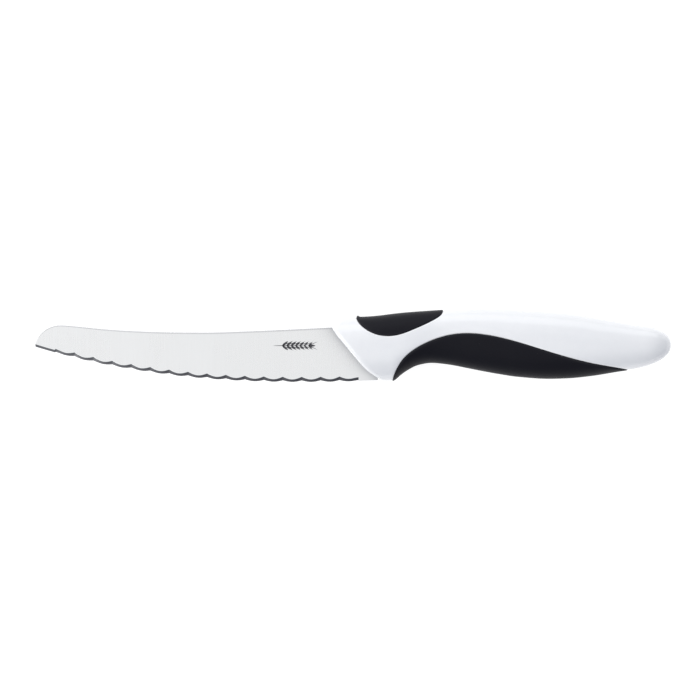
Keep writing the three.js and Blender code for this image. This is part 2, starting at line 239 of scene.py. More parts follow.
# %% [markdown]
# ## Shared finishes
# Nothing factory-made is one flat colour. Three effects come back on several materials, so each is a node group
# with named inputs, built once: a fine grain in the surface, a faint film of dust and finger marks, and a lighter
# mask along edges, which is wear on the grips, wear and painted highlight on the white shell, and painted highlight
# on the steel. A group only hands out numbers and normals. The shader stays in the material.

# %% Building node trees
SOCKET_KINDS = {float: "Float", int: "Int", tuple: "Vector", bpy.types.Material: "Material", type(None): "Geometry"}


def new_tree(kind, name, inputs, outputs):
    """An empty node tree with named sockets, and its two ends. The value of a socket decides its kind."""
    tree = bpy.data.node_groups.new(name, kind + "NodeTree")
    for in_out, sockets in (("INPUT", inputs), ("OUTPUT", outputs)):
        for label, value in sockets.items():
            socket_type = "NodeSocket" + SOCKET_KINDS[type(value)]
            socket = tree.interface.new_socket(label, in_out=in_out, socket_type=socket_type)
            if kind == "Shader":
                socket.default_value = value
    return tree, tree.nodes.new("NodeGroupInput").outputs, tree.nodes.new("NodeGroupOutput").inputs


def feed(tree, node, key, value):
    """Link a socket to an input, or set the input to a plain value."""
    if isinstance(value, bpy.types.NodeSocket):
        tree.links.new(value, node.inputs[key])
    else:
        node.inputs[key].default_value = value


def add(tree, kind, settings=None, **sockets):
    """The outputs of a new node, with its settings, values and links; input_0 stands for its first input."""
    node = tree.nodes.new(kind)
    for label, value in (settings or {}).items():
        setattr(node, label, value)
    for label, value in sockets.items():
        feed(tree, node, int(label[6:]) if label.startswith("input_") else label.replace("_", " "), value)
    return node.outputs


def maths(tree, operation, a, b=0.0, c=0.0, clamp=False):
    settings = {"operation": operation, "use_clamp": clamp}
    return add(tree, "ShaderNodeMath", settings, input_0=a, input_1=b, input_2=c)[0]


def times(tree, product, *factors):
    """The product of numbers and sockets."""
    for factor in factors:
        product = maths(tree, "MULTIPLY", product, factor)
    return product


# %% The grain group
# Noise stretched along one axis gives the scratches of a grinding belt. The same noise left even gives the fine
# sparkle of an eroded mould.
grain, grain_in, grain_out = new_tree(
    "Shader", "surface_grain",
    {"Place": (0, 0, 0), "Cells per metre": 1000.0, "Stretch": (1, 1, 1), "Depth": 0.00001,
     "Base roughness": 0.3, "Roughness swing": 0.1},
    {"Height": 0.0, "Roughness": 0.0, "Cells": 0.0},
)
stretched = add(grain, "ShaderNodeVectorMath", {"operation": "MULTIPLY"},
                input_0=grain_in["Place"], input_1=grain_in["Stretch"])[0]
cells = add(grain, "ShaderNodeTexNoise", {"noise_dimensions": "3D"}, Vector=stretched,
            Scale=grain_in["Cells per metre"], Detail=3.0, Roughness=0.6)[0]
centred = maths(grain, "SUBTRACT", cells, 0.5)
grain.links.new(times(grain, centred, grain_in["Depth"]), grain_out["Height"])
swing = times(grain, centred, grain_in["Roughness swing"])
rough = maths(grain, "ADD", swing, grain_in["Base roughness"], clamp=True)
grain.links.new(rough, grain_out["Roughness"])
grain.links.new(cells, grain_out["Cells"])
print("group:", grain.name)

# %% The handling group
# Big soft patches are the film that a hand leaves. Small rare specks are dust.
handling, handling_in, handling_out = new_tree(
    "Shader", "handling_marks",
    {"Place": (0, 0, 0), "Patch size": 60.0, "Film": 0.5, "Dust": 0.1},
    {"Film mask": 0.0, "Dust mask": 0.0},
)
patches = add(handling, "ShaderNodeTexNoise", {}, Vector=handling_in["Place"],
              Scale=handling_in["Patch size"], Detail=4.0, Roughness=0.55)[0]
soft = add(handling, "ShaderNodeMapRange", {"interpolation_type": "SMOOTHSTEP"}, Value=patches,
           input_1=0.42, input_2=0.68)[0]
handling.links.new(times(handling, soft, handling_in["Film"]),
                   handling_out["Film mask"])
specks = add(handling, "ShaderNodeTexVoronoi", {}, Vector=handling_in["Place"],
             Scale=420.0, Randomness=1.0)
near = maths(handling, "LESS_THAN", specks["Distance"], 0.035)
handling.links.new(times(handling, near, handling_in["Dust"]),
                   handling_out["Dust mask"])
print("group:", handling.name)

# %% The edge group
# The Pointiness of a mesh is lost on the way out of Blender, so the edge mask is a number stored on the corners
# of each piece. The group only breaks it up, because a worn edge is never even, and the painted highlight along an
# edge is broken up the same way.
edge_wear_and_highlight, edge_in, edge_out = new_tree(
    "Shader", "edge_wear_and_highlight",
    {"Place": (0, 0, 0), "Edge": 0.0, "Break up": 0.5, "Cells per metre": 700.0},
    {"Wear and highlight mask": 0.0},
)
nibbles = add(edge_wear_and_highlight, "ShaderNodeTexNoise", {}, Vector=edge_in["Place"],
              Scale=edge_in["Cells per metre"], Detail=2.0)[0]
broken = times(edge_wear_and_highlight, nibbles, edge_in["Break up"])
left = maths(edge_wear_and_highlight, "SUBTRACT", 1.0, broken)
wear_and_highlight = maths(edge_wear_and_highlight, "MULTIPLY", left, edge_in["Edge"], clamp=True)
edge_wear_and_highlight.links.new(wear_and_highlight, edge_out["Wear and highlight mask"])
print("group:", edge_wear_and_highlight.name)

# %% A blank material


def new_material(name):
    material = bpy.data.materials.new(name)
    material.use_nodes = True
    tree = material.node_tree
    return material, tree, add(tree, "ShaderNodeTexCoord")["Object"], tree.nodes["Principled BSDF"]


def use(tree, node_group, place, **values):
    """The outputs of a node group; underscores in the names of its inputs stand for spaces."""
    return add(tree, "ShaderNodeGroup", {"node_tree": node_group}, Place=place, **values)


def mix_colour(tree, share, first, second, blend="MIX"):
    settings = {"data_type": "RGBA", "blend_type": blend}
    return add(tree, "ShaderNodeMix", settings, input_0=share, input_6=first, input_7=second)[2]


def corner_value(tree, name):
    return add(tree, "ShaderNodeAttribute", {"attribute_name": name})["Fac"]


def dress(tree, shader, colour, roughness, height=None, **uniform):
    """Link what changes over a surface, with height as a bump, and set the numbers that are the same all over."""
    tree.links.new(colour, shader.inputs["Base Color"])
    tree.links.new(roughness, shader.inputs["Roughness"])
    if height:
        normal = add(tree, "ShaderNodeBump", Height=height, Strength=1.0, Distance=1.0)[0]
        tree.links.new(normal, shader.inputs["Normal"])
    for label, value in uniform.items():
        shader.inputs[label.replace("_", " ")].default_value = value


# %% [markdown]
# ## Steel
# The blade is stainless strip, ground on a belt that runs across it from spine to edge, then finely brushed. The
# scratches are far too small to be modelled, so stretched noise bends the normal a little and changes the
# roughness. The wavy bevel is ground last with a coarse narrow wheel and left as it is, so it is rougher, and its
# colour is painted dark as a painted reflection of the dim surroundings below the edge, a little lighter towards the
# tip. A thin line above the bevel is painted lighter as a painted highlight, and beside the collar the steel is
# painted darker grey as painted shade. These are masks that are stored on the mesh, which puts their borders
# exactly where the form has them.

# %% Steel materials
steel, tree, place, shader = new_material("ground_steel")
across = use(tree, grain, place, Cells_per_metre=2600.0, Stretch=(1.0, 0.03, 0.03), Depth=3.0e-6,
             Base_roughness=0.27, Roughness_swing=0.12)
coarse = use(tree, grain, place, Cells_per_metre=5200.0, Stretch=(1.0, 0.12, 0.12), Depth=9.0e-6,
             Base_roughness=0.42, Roughness_swing=0.2)
marks = use(tree, handling, place, Patch_size=45.0, Film=0.06, Dust=0.0)
ground_and_shade = corner_value(tree, "ground_and_shade")
collar_shade = corner_value(tree, "collar_shade")
spine_grey = times(tree, corner_value(tree, "spine"), 0.55)
wear_and_highlight = use(tree, edge_wear_and_highlight, place, Edge=corner_value(tree, "edge_line"), Break_up=0.5)
tone = mix_colour(tree, across["Cells"], (0.855, 0.865, 0.87, 1), (0.90, 0.905, 0.91, 1))
# Painted shade: the steel close to the collar is painted darker grey, as if the collar shaded it.
tone = mix_colour(tree, collar_shade, tone, (0.34, 0.35, 0.37, 1))
tone = mix_colour(tree, spine_grey, tone, (0.40, 0.40, 0.42, 1))
# Painted reflection: the ground bevel is painted dark for the dim surroundings it reflects; its real coarse grind is
# only the extra roughness and bump.
tone = mix_colour(tree, ground_and_shade, tone, (0.115, 0.115, 0.125, 1))
# Painted highlight: a thin lighter line along the top of the bevel, broken up by the edge group.
tone = mix_colour(tree, wear_and_highlight["Wear and highlight mask"], tone, (0.93, 0.94, 0.95, 1))
filmed = maths(tree, "ADD", across["Roughness"], marks["Film mask"])
filmed = maths(tree, "MULTIPLY_ADD", ground_and_shade, 0.16, filmed)
fine_part = times(tree, across["Height"], maths(tree, "SUBTRACT", 1.0, ground_and_shade))
relief = maths(tree, "MULTIPLY_ADD", coarse["Height"], ground_and_shade, fine_part)
dress(tree, shader, tone, filmed, relief, Metallic=1.0)

etched, tree, place, shader = new_material("etched_mark")
pits = use(tree, grain, place, Cells_per_metre=9000.0, Depth=6.0e-6,
           Base_roughness=0.62, Roughness_swing=0.3)
tone = mix_colour(tree, pits["Cells"], (0.045, 0.045, 0.05, 1), (0.10, 0.10, 0.11, 1))
dress(tree, shader, tone, pits["Roughness"], pits["Height"], Metallic=0.6)
print("steel and etched mark")

# %% [markdown]
# ## Plastics
# The handle is a white polypropylene-like shell from a polished mould: smooth and glossy, with the slight
# orange-peel of a thick moulding. The grips are a soft black rubber-like plastic from an eroded mould: matt, with a
# fine sparkle. The core is unpainted grey plastic that nobody sees.

# %% Plastic materials
white, tree, place, shader = new_material("glossy_white_shell")
peel = use(tree, grain, place, Cells_per_metre=260.0, Depth=1.6e-6,
           Base_roughness=0.2, Roughness_swing=0.08)
marks = use(tree, handling, place, Patch_size=70.0, Film=0.03, Dust=0.2)
wear_and_highlight = use(tree, edge_wear_and_highlight, place, Edge=corner_value(tree, "rim"), Break_up=0.4)
tone = mix_colour(tree, peel["Cells"], (0.775, 0.785, 0.81, 1), (0.825, 0.83, 0.85, 1))
tone = mix_colour(tree, marks["Dust mask"], tone, (0.62, 0.61, 0.6, 1))
# Lighter along the rim: partly wear, partly a painted highlight on the rolled edges and the collar's round front.
tone = mix_colour(tree, times(tree, wear_and_highlight["Wear and highlight mask"], 0.5), tone, (0.93, 0.935, 0.94, 1))
filmed = maths(tree, "ADD", peel["Roughness"], marks["Film mask"])
dress(tree, shader, tone, filmed, peel["Height"], IOR=1.49, Coat_Weight=0.25, Coat_Roughness=0.06)

black, tree, place, shader = new_material("soft_black_grip")
spark = use(tree, grain, place, Cells_per_metre=4200.0, Depth=1.3e-5,
            Base_roughness=0.5, Roughness_swing=0.18)
marks = use(tree, handling, place, Patch_size=80.0, Film=0.1, Dust=0.5)
wear_and_highlight = use(tree, edge_wear_and_highlight, place, Edge=corner_value(tree, "rim"), Break_up=0.6)
tone = mix_colour(tree, spark["Cells"], (0.0045, 0.0045, 0.0075, 1), (0.0075, 0.0075, 0.012, 1))
tone = mix_colour(tree, marks["Film mask"], tone, (0.02, 0.019, 0.021, 1))
tone = mix_colour(tree, marks["Dust mask"], tone, (0.12, 0.115, 0.11, 1))
tone = mix_colour(tree, times(tree, wear_and_highlight["Wear and highlight mask"], 0.35), tone, (0.05, 0.05, 0.055, 1))
filmed = maths(tree, "ADD", spark["Roughness"], marks["Film mask"])
dress(tree, shader, tone, filmed, spark["Height"], Specular_IOR_Level=0.12, Sheen_Weight=0.01, Sheen_Roughness=0.4)

core_grey, tree, place, shader = new_material("grey_core")
flow = use(tree, grain, place, Cells_per_metre=500.0, Stretch=(0.3, 1, 1), Depth=8.0e-6,
           Base_roughness=0.55, Roughness_swing=0.2)
tone = mix_colour(tree, flow["Cells"], (0.40, 0.42, 0.44, 1), (0.52, 0.53, 0.55, 1))
dress(tree, shader, tone, flow["Roughness"], flow["Height"])
print("white shell, black grips and grey core")

# %% [markdown]
# ## The handle's form
# The handle is moulded, so its form is a smooth skin over a few measured lines: the back, the belly and the half
# thickness. A subdivision surface could be pushed to it, but here the exact lines are known, so each corner is
# computed. At every x the section is a superellipse, which is a little squarer than an ellipse. Where the section
# grows by a millimetre all round, the same rule gives the surface of a grip or the floor of its bed.

# %% Measured lines
# From the collar's tip: x along the handle, y above the heel's edge.
BACK = [[0, 22.5], [5.3, 23.1], [14.3, 23.4], [25.3, 24.7], [40.3, 25.8], [54.3, 26.7], [65.3, 26.4],
        [85.3, 25.1], [103.3, 22.2], [112.3, 20.6], [125.4, 18.8]]
BELLY = [[0, -0.15], [22.3, -0.15], [23.1, 0.1], [25.3, 2], [27.8, 3.8], [31.8, 5.8], [36.8, 6.65],
         [42.8, 6.1], [51.8, 4.4], [60.8, 2.7], [69.3, 1.45], [80.3, 0.75], [87.3, 0.95], [96.3, 1.85],
         [105.3, 3.3], [113.8, 4.6], [118.3, 5.8], [125.4, 7.4]]
HALF_THICKNESS = [[0, 8.2], [17.3, 9], [26.3, 8.8], [40.3, 7.6], [60.3, 8.4], [78.3, 9], [95.3, 8.5],
                  [112.3, 7.4], [125.4, 6.4]]
SECTION_POWER = 2.4
BUTT_ROUND = 10.0


def sanded_line(points, softness):
    """A line through points that never swings past them, then sanded smooth over a length of softness mm."""
    xs, ys = np.array(points, float).T
    slope = np.diff(ys) / np.diff(xs)
    before = np.concatenate([slope[:1], slope])
    after = np.concatenate([slope, slope[-1:]])
    same_way = before * after > 0
    lean = np.where(same_way, 2 * before * after / np.where(same_way, before + after, 1), 0)
    step = 0.1
    reach = 4 * softness
    fine = np.arange(xs[0] - reach, xs[-1] + reach + step, step)
    inner = np.clip(fine, xs[0], xs[-1])
    i = np.clip(np.searchsorted(xs, inner) - 1, 0, len(xs) - 2)
    width = xs[i + 1] - xs[i]
    t = (inner - xs[i]) / width
    level = ys[i] + (ys[i + 1] - ys[i]) * ease(t) + width * t * (1 - t) * ((1 - t) * lean[i] - t * lean[i + 1])
    level += np.minimum(fine - xs[0], 0) * lean[0] + np.maximum(fine - xs[-1], 0) * lean[-1]
    pad = np.arange(-reach, reach + step / 2, step)
    weight = np.exp(-(pad / softness) ** 2)
    smooth = np.convolve(level, weight / weight.sum(), "same")
    return lambda x: np.interp(x, fine, smooth)


back_line = sanded_line(BACK, 3.0)
belly_line = sanded_line(BELLY, 0.7)
half_line = sanded_line(HALF_THICKNESS, 3.0)
butt_x = collar_tip + handle_length
print(f"thickest {2 * half_line(17.3):.1f} mm, waist {2 * half_line(40.3):.1f} mm")


# %% Sections
def section(x):
    """Middle, half height and half width of the handle at x, and how much of them the round butt leaves."""
    drawn = x - collar_tip
    into = np.clip((x - (butt_x - BUTT_ROUND)) / BUTT_ROUND, 0, 1)
    fullness = np.maximum(1 - into**SECTION_POWER, 0) ** (1 / SECTION_POWER)
    top, bottom = back_line(drawn), belly_line(drawn)
    return (top + bottom) / 2, (top - bottom) / 2, half_line(drawn), fullness


def flank(z):
    """A soft limit on the thickness: the handle has slightly flat sides, on which it lies still."""
    sharpness = 7.0
    return -np.logaddexp(-sharpness * z, -sharpness * flank_half) / sharpness


def form_point(x, share, grow):
    """A point of the front half: share runs from -1 at the belly to 1 at the back; grow is in millimetres."""
    centre, tall, wide, fullness = section(x)
    rise = (1 - np.abs(share) ** SECTION_POWER).clip(0) ** (1 / SECTION_POWER)
    y = centre + (tall + grow) * fullness * share
    z = flank((wide + grow) * fullness * rise)
    return np.stack([x, y, np.where(rise <= 0, 0, z)], -1)


# %% [markdown]
# ## The grips' outlines
# Both grips have a smooth border, which a designer drew on the side view. The border is a flexible line through a
# few points. Laid on the form, it becomes a line in space, and the distance to it decides where an edge rolls down.

# %% Borders of the grips
THUMB_BORDER = [[8.9, 24.6], [9.2, 22.9], [11.8, 19.5], [16.2, 17.1], [20.6, 16.4], [25.1, 17], [29.5, 18.6],
                [34, 20.6], [38.4, 22.9], [40.7, 24.9], [41.3, 27.4]]
BELLY_BORDER = [[22.4, -1.6], [22.8, 1.2], [23.8, 3.9], [26, 7.5], [30.1, 11.2], [35.5, 14.2], [41, 16.2],
                [47.3, 17.3], [56.2, 16.9], [69.5, 13.8], [87.2, 8.3], [96.1, 6.1], [105, 4.55], [115.3, 2.9]]


def border_on_form(points):
    """The border as a function of x in the side view, and as a search tree of points in space."""
    line = flexible_line(points, 4000)
    x = line[:, 0] + collar_tip
    order = np.maximum.accumulate(x)
    centre, tall, wide, fullness = section(x)
    share = (line[:, 1] - centre) / tall
    on_form = np.abs(share) < 1
    spots = form_point(x[on_form], share[on_form], 0)
    tree = KDTree(2 * len(spots))
    for i, spot in enumerate(spots):
        tree.insert(spot, 2 * i)
        tree.insert((spot[0], spot[1], -spot[2]), 2 * i + 1)
    tree.balance()
    return order, line[:, 1], tree


thumb_x, thumb_y, thumb_tree = border_on_form(THUMB_BORDER)
belly_x, belly_y, belly_tree = border_on_form(BELLY_BORDER)
FAR = 99.0


def thumb_border(x):
    return np.interp(x, thumb_x, thumb_y, left=FAR, right=FAR)


def belly_border(x):
    return np.interp(x, belly_x, belly_y, left=-FAR, right=-FAR)


def to_border(points):
    """Distance in space from each point to the nearer border."""
    return np.array([min(thumb_tree.find(p)[2], belly_tree.find(p)[2]) for p in points])


print("borders laid on the form")

# %% [markdown]
# ## Ribs of the handle
# The form is cut into ribs, which stand like slices seen from the side. The first ribs follow the slanting collar
# front, and they slowly turn upright, so that no border runs along a rib. Every rib has the same number of corners:
# some in the belly grip's bed, some on the white skin and some in the thumb grip's bed. More of them stand close to
# a border, where the edge rolls over.

# %% Collar front and ribs
COLLAR_FRONT = [[-0.15, -0.3], [0.8, -1.0], [3.05, -3.7], [5.3, -5.95], [7.5, -7.85], [9.7, -9.65],
                [12, -11.55], [14.2, -13.4], [16.4, -15.2], [19.6, -17.28]]
COLLAR_LEDGE = [[19.6, -17.28], [20.5, -15.98], [23.4, -15.38], [30, -15.38]]
COLLAR_ROUND = 1.8
COLLAR_SLANT = 40.4
ALONG_TO_ACROSS = math.cos(math.radians(COLLAR_SLANT))
LEAN_START = 9.0
LEAN_END = 39.0
collar_front = sanded_line(COLLAR_FRONT, 0.5)
ledge_y, ledge_x = np.array(COLLAR_LEDGE).T


def front_line(y):
    """x of the collar's front at height y: a long, slightly full slant, then a short ledge over the spine."""
    return np.where(y < ledge_y[0], collar_front(y), np.interp(y, ledge_y, ledge_x))


def leaning_line(station, y):
    """The rib that meets the back at this distance from the collar's tip."""
    lean = np.clip((LEAN_END - station) / (LEAN_END - LEAN_START), 0, 1)
    below = np.clip(20 - y, 0, None)
    return collar_tip + station + lean * below**2 / 40


def rib_line(rib, y):
    """x at height y on a rib; rib is ("front", inset, share) or ("body", station, 0)."""
    kind, first, share = rib
    if kind == "body":
        return leaning_line(first, y)
    start = front_line(y) + first
    return start + share * (leaning_line(LEAN_START, y) - start)


def has_grip(station, which):
    """How much of the rib lies on a grip, in millimetres of height."""
    y = np.linspace(-0.3, 27, 3000)
    step = y[1] - y[0]
    x = leaning_line(station, y)
    centre, tall, _, fullness = section(x)
    inside = np.abs((y - centre) / (tall * np.maximum(fullness, 1e-3))) < 1
    covered = y > thumb_border(x) if which == "thumb" else y < belly_border(x)
    return (inside & covered).sum() * step


def first_station(which, outside, inside):
    """The station where a grip begins, found by halving between one outside it and one inside it."""
    for _ in range(24):
        halfway = (outside + inside) / 2
        if has_grip(halfway, which) > 0:
            inside = halfway
        else:
            outside = halfway
    return (outside + inside) / 2


thumb_from = first_station("thumb", 8.5, 20)
thumb_to = first_station("thumb", 46, 30)
belly_from = first_station("belly", 5, 40)
belly_to = first_station("belly", 118, 80)
print(f"thumb grip ribs {thumb_from:.2f} to {thumb_to:.2f}, belly grip ribs {belly_from:.2f} to {belly_to:.2f}")


def crowded(near, far, count, power=2.2):
    """Stations from near to far that crowd together at near."""
    return near + (far - near) * np.linspace(0, 1, count) ** power


stations = np.concatenate([
    crowded(thumb_from, thumb_from + 7, 22),
    crowded(thumb_from, thumb_from - 0.25, 4, 1),
    crowded(belly_from, belly_from + 9, 24),
    crowded(belly_from, belly_from - 1.5, 6),
    np.arange(LEAN_START + 8, thumb_to, 0.9),
    crowded(thumb_to, thumb_to - 7, 18),
    crowded(thumb_to, thumb_to + 2, 6),
    np.arange(thumb_to, 106, 1.4),
    crowded(belly_to, belly_to - 10, 22),
    crowded(belly_to, belly_to + 3, 6),
    handle_length - BUTT_ROUND + BUTT_ROUND * np.sin(np.linspace(0, math.pi / 2, 26)),
    np.arange(106, handle_length - BUTT_ROUND, 1.4),
])
stations = np.unique(np.round(stations, 3))
keep = np.concatenate([[True], np.diff(stations) > 0.03])
stations = stations[keep & (stations > LEAN_START + 0.05)]
inset_steps = COLLAR_ROUND / ALONG_TO_ACROSS * np.array([0, 0.04, 0.12, 0.24, 0.4, 0.6, 0.8, 1.0])
ribs = [("front", inset, 0.0) for inset in inset_steps]
ribs += [("front", inset_steps[-1], share) for share in (0.04, 0.1, 0.2, 0.32, 0.44, 0.56, 0.68, 0.8, 0.9)]
ribs += [("body", station, 0.0) for station in [LEAN_START, *stations]]
print(len(ribs), "ribs")

# %% Corners along a rib
ROLL_STEPS = np.array([0, 0.09, 0.2, 0.34, 0.5, 0.75])
BELLY_CORNERS = 24
SKIN_CORNERS = 52
THUMB_CORNERS = 16


def spread(length, count):
    """Distances along a stretch: crowded at both ends, where an edge may roll over, and even between."""
    shrink = min(1.0, length / (3 * ROLL_STEPS[-1]))
    ends = ROLL_STEPS * shrink
    between = np.linspace(ends[-1], length - ends[-1], count - 2 * len(ends) + 2)[1:-1]
    return np.concatenate([ends, between, length - ends[::-1]])


def skin_spread(low, high, total, count):
    """Distances between two borders that hardly move when a border does: only the nearest are pushed along."""
    shrink = min(1.0, (high - low) / (4 * ROLL_STEPS[-1]))
    ends = ROLL_STEPS * shrink
    low_limit, high_limit = low + ends[-1], high - ends[-1]
    even = np.linspace(0, total, count - 2 * len(ends) + 2)[1:-1]
    push = 1.2 * shrink + 1e-6
    between = high_limit - push * np.logaddexp(0, (high_limit - even) / push)
    between = low_limit + push * np.logaddexp(0, (between - low_limit) / push)
    return np.concatenate([low + ends, np.clip(between, low_limit, high_limit), high - ends[::-1]])


def rib_corners(rib):
    """x and share of each corner, in three stretches from the belly to the back."""
    turn = np.linspace(0, math.pi, 1500)
    share = -np.cos(turn) * (1 - 1e-12)
    y = 12 + 11 * share
    for _ in range(30):
        x = rib_line(rib, y)
        centre, tall, wide, fullness = section(x)
        y = 0.5 * y + 0.5 * (centre + tall * fullness * share)
    x = np.minimum(rib_line(rib, y), butt_x)
    spots = form_point(x, share, 0)
    along = np.concatenate([[0], np.cumsum(np.linalg.norm(np.diff(spots, axis=0), axis=1))])
    on_belly = y < belly_border(x)
    on_thumb = y > thumb_border(x)

    def crossing(flags, gap):
        """Where along the rib a border is crossed, between two neighbouring samples."""
        i = np.flatnonzero(flags[:-1] != flags[1:])
        if not len(i):
            return None
        i = i[-1]
        share_of_step = gap[i] / (gap[i] - gap[i + 1])
        return along[i] + (along[i + 1] - along[i]) * np.clip(share_of_step, 0, 1)

    low = crossing(on_belly, y - belly_border(x)) if on_belly.any() else None
    high = crossing(on_thumb, y - thumb_border(x)) if on_thumb.any() else None
    low = 0.0 if low is None else low
    high = along[-1] if high is None else high
    stretches = []
    for start, stop, count in ((0.0, low, BELLY_CORNERS), (low, high, SKIN_CORNERS),
                               (high, along[-1], THUMB_CORNERS)):
        if count == SKIN_CORNERS:
            distance = skin_spread(start, stop, along[-1], count)
        else:
            distance = start + spread(stop - start, count)
        stretches.append((np.interp(distance, along, x), np.interp(distance, along, share)))
    return stretches


corners = [rib_corners(rib) for rib in ribs]
print(sum(sum(len(x) for x, _ in rib) for rib in corners), "corners on one half")

# %% [markdown]
# ## The white shell
# The shell is one moulding. It is drawn as a skin from border to border, and where a grip will sit the same ribs
# run deeper, as the floor of a bed. Close to a border the skin rolls down a little, and the collar's front is
# rounded, because a moulded edge is never sharp. The front is closed by a ladder of faces, and the blade passes
# through it.

# %% The white shell
BED_DEPTH = 2.3
SKIN_ROLL = 0.38
ROLL_REACH = 0.5
SKIN_RIM = 0.9


def collar_inset(x, y):
    """How far the skin is pulled in, so that the collar's front edge is round."""
    distance = np.clip((x - front_line(y)) * ALONG_TO_ACROSS, 0, COLLAR_ROUND)
    return np.sqrt(np.maximum(COLLAR_ROUND**2 - (COLLAR_ROUND - distance) ** 2, 0)) - COLLAR_ROUND


def skin_stretch(x, share):
    """The skin between two borders, and how close each corner is to an edge."""
    flat = form_point(x, share, 0)
    near = to_border(flat)
    roll = np.clip(1 - near / ROLL_REACH, 0, 1)
    inset = collar_inset(x, flat[:, 1])
    grow = inset - SKIN_ROLL * (1 - np.sqrt(1 - roll**2))
    # The rim covers the rolled edges by the borders and the collar's round front, which the white material paints
    # lighter as wear and painted highlight.
    rim = np.maximum(np.clip(1 - near / SKIN_RIM, 0, 1), np.clip(-inset / COLLAR_ROUND * 1.6, 0, 1))
    skin = form_point(x, share, grow)
    upright = form_point(x, share, grow - inset)
    skin[:, 1] += (1 - np.abs(share) ** 8) * (upright[:, 1] - skin[:, 1])
    return skin, rim


def bed_stretch(x, share, skin_end):
    """The floor of a bed, or one corner many times where the rib meets no grip."""
    return form_point(x, share, -BED_DEPTH) if np.ptp(share) > 1e-9 else np.repeat(skin_end, len(x), 0)


def both_halves(half_ring, values):
    """A full ring from its upper half, whose first and last corners lie in the middle plane."""
    under = half_ring[::-1] * np.array([1, 1, -1])
    return np.concatenate([half_ring, under]), np.concatenate([values, values[::-1]])


rings = []
rims = []
for belly_part, skin_part, thumb_part in corners:
    skin, rim = skin_stretch(*skin_part)
    belly_bed = bed_stretch(*belly_part, skin[:1])
    thumb_bed = bed_stretch(*thumb_part, skin[-1:])
    half_ring = np.concatenate([belly_bed, skin, thumb_bed])
    ring, ring_values = both_halves(half_ring, np.pad(rim, (len(belly_bed), len(thumb_bed))))
    rings.append(ring)
    rims.append(ring_values)

rings.append(np.repeat(form_point(np.array([butt_x]), np.zeros(1), 0), len(rings[0]), 0))
rims.append(np.zeros(len(rings[0])))
ring_size = len(rings[0])
faces = ring_faces(len(rings), ring_size) + ladder(0, ring_size)
body = make_piece("handle_shell", np.concatenate(rings), faces, 38, white, {"rim": np.concatenate(rims)})

# %% [markdown]
# ## The grips
# Each grip is a soft shell that is moulded into its bed in a second shot. It stands a quarter of a millimetre
# proud, and its edge is rolled over, so a fine dark groove runs between black and white. It is made from the same
# ribs as the shell: once at its outer height, and back at its underside.

# %% The grips
GRIP_PROUD = 0.25
GRIP_EDGE = 0.3
GRIP_DEPTH = 2.0
GRIP_ROLL = 0.75
GRIP_RIM = 0.8
NIB_HEIGHT = 0.5
NIB_LENGTH = 0.45
NIB_WIDTH = 0.03
nib_x = collar_tip + thumb_from + 0.55


def make_grip(name, part, from_belly):
    """A grip from closed rings, each the outer skin round the handle and then the underside back."""
    made = []
    values = []
    for rib in corners:
        x, share = rib[part]
        if np.ptp(share) < 1e-9:
            continue
        near = to_border(form_point(x, share, 0))
        rise = np.sqrt(1 - np.clip(1 - near / GRIP_ROLL, 0, 1) ** 2)
        nib = 0.0 if from_belly else NIB_HEIGHT * np.exp(
            -((x - nib_x) / NIB_LENGTH) ** 2 - ((share - 1) / NIB_WIDTH) ** 2)
        outer = form_point(x, share, -GRIP_EDGE + (GRIP_EDGE + GRIP_PROUD) * rise + nib)
        inner = form_point(x, share, -GRIP_DEPTH)
        rim = np.clip(1 - near / GRIP_RIM, 0, 1)
        order = slice(None, None, -1 if from_belly else 1)
        across, edge = both_halves(outer[order], rim[order])
        back, unworn = both_halves(inner[order], 0 * rim)
        made.append(np.concatenate([across, back[::-1]]))
        values.append(np.concatenate([edge, unworn]))
    size = len(made[0])
    faces = ring_faces(len(made), size) + ladder(0, size) + ladder((len(made) - 1) * size, size)
    return make_piece(name, np.concatenate(made), faces, 38, black, {"rim": np.concatenate(values)})


thumb_pad = make_grip("thumb_pad", 2, False)
belly_pad = make_grip("belly_pad", 0, True)

# %% [markdown]
# ## The blade
# The blade follows a rule, so a Geometry Nodes tree can grind it. First comes the blank: a row of ribs from the
# tip to the heel, each running round the section from the edge over one face to the spine and back. Both faces
# are true planes, a little thinner to the edge and to the tip. The ribs stand straight over the bevel and lean
# above it, so the last of them follow the collar. Each corner carries numbers that say how much it moves when the
# edge is ground.

# %% The blank
SPINE = [[-127, 20.45], [-117.3, 20.4], [-110, 19.8], [-101, 18.9], [-92, 18.3], [-77, 17.8], [-64, 17.7],
         [-48, 18.2], [-33, 18.85], [-17, 19.6], [0, 20]]
BLADE_HEIGHT = 19.6
NOSE_RADIUS = 9.7
NOSE_FULLNESS = 0.35
TIP_HEIGHT = 1.02
TIP_RISE = 12.5
EDGE_DROP = 0.62
EDGE_STOCK = 0.56
STOCK = (blade_high.z - blade_low.z) / MM
TIP_THINNING = 0.54
BEVEL_HEIGHT = 0.95
EDGE_LAND = 0.08
LOBE_FULLNESS = 0.22
SPINE_ROUND = 0.3
WAVE_PITCH = 7.005
WAVE_COUNT = 16
WAVE_START = -119.45
WAVE_END = WAVE_START + WAVE_COUNT * WAVE_PITCH
HEEL_END = -0.2
spine_line = sanded_line(SPINE, 2.0)
nose_x = NOSE_RADIUS - BLADE_LENGTH - NOSE_FULLNESS
nose_y = spine_line(nose_x) - NOSE_RADIUS


def blade_top(x):
    """The spine's height at x, with the round nose at the tip."""
    reach = np.clip(nose_x - x, 0, NOSE_RADIUS)
    return np.where(x < nose_x, nose_y + np.sqrt(NOSE_RADIUS**2 - reach**2), spine_line(x))


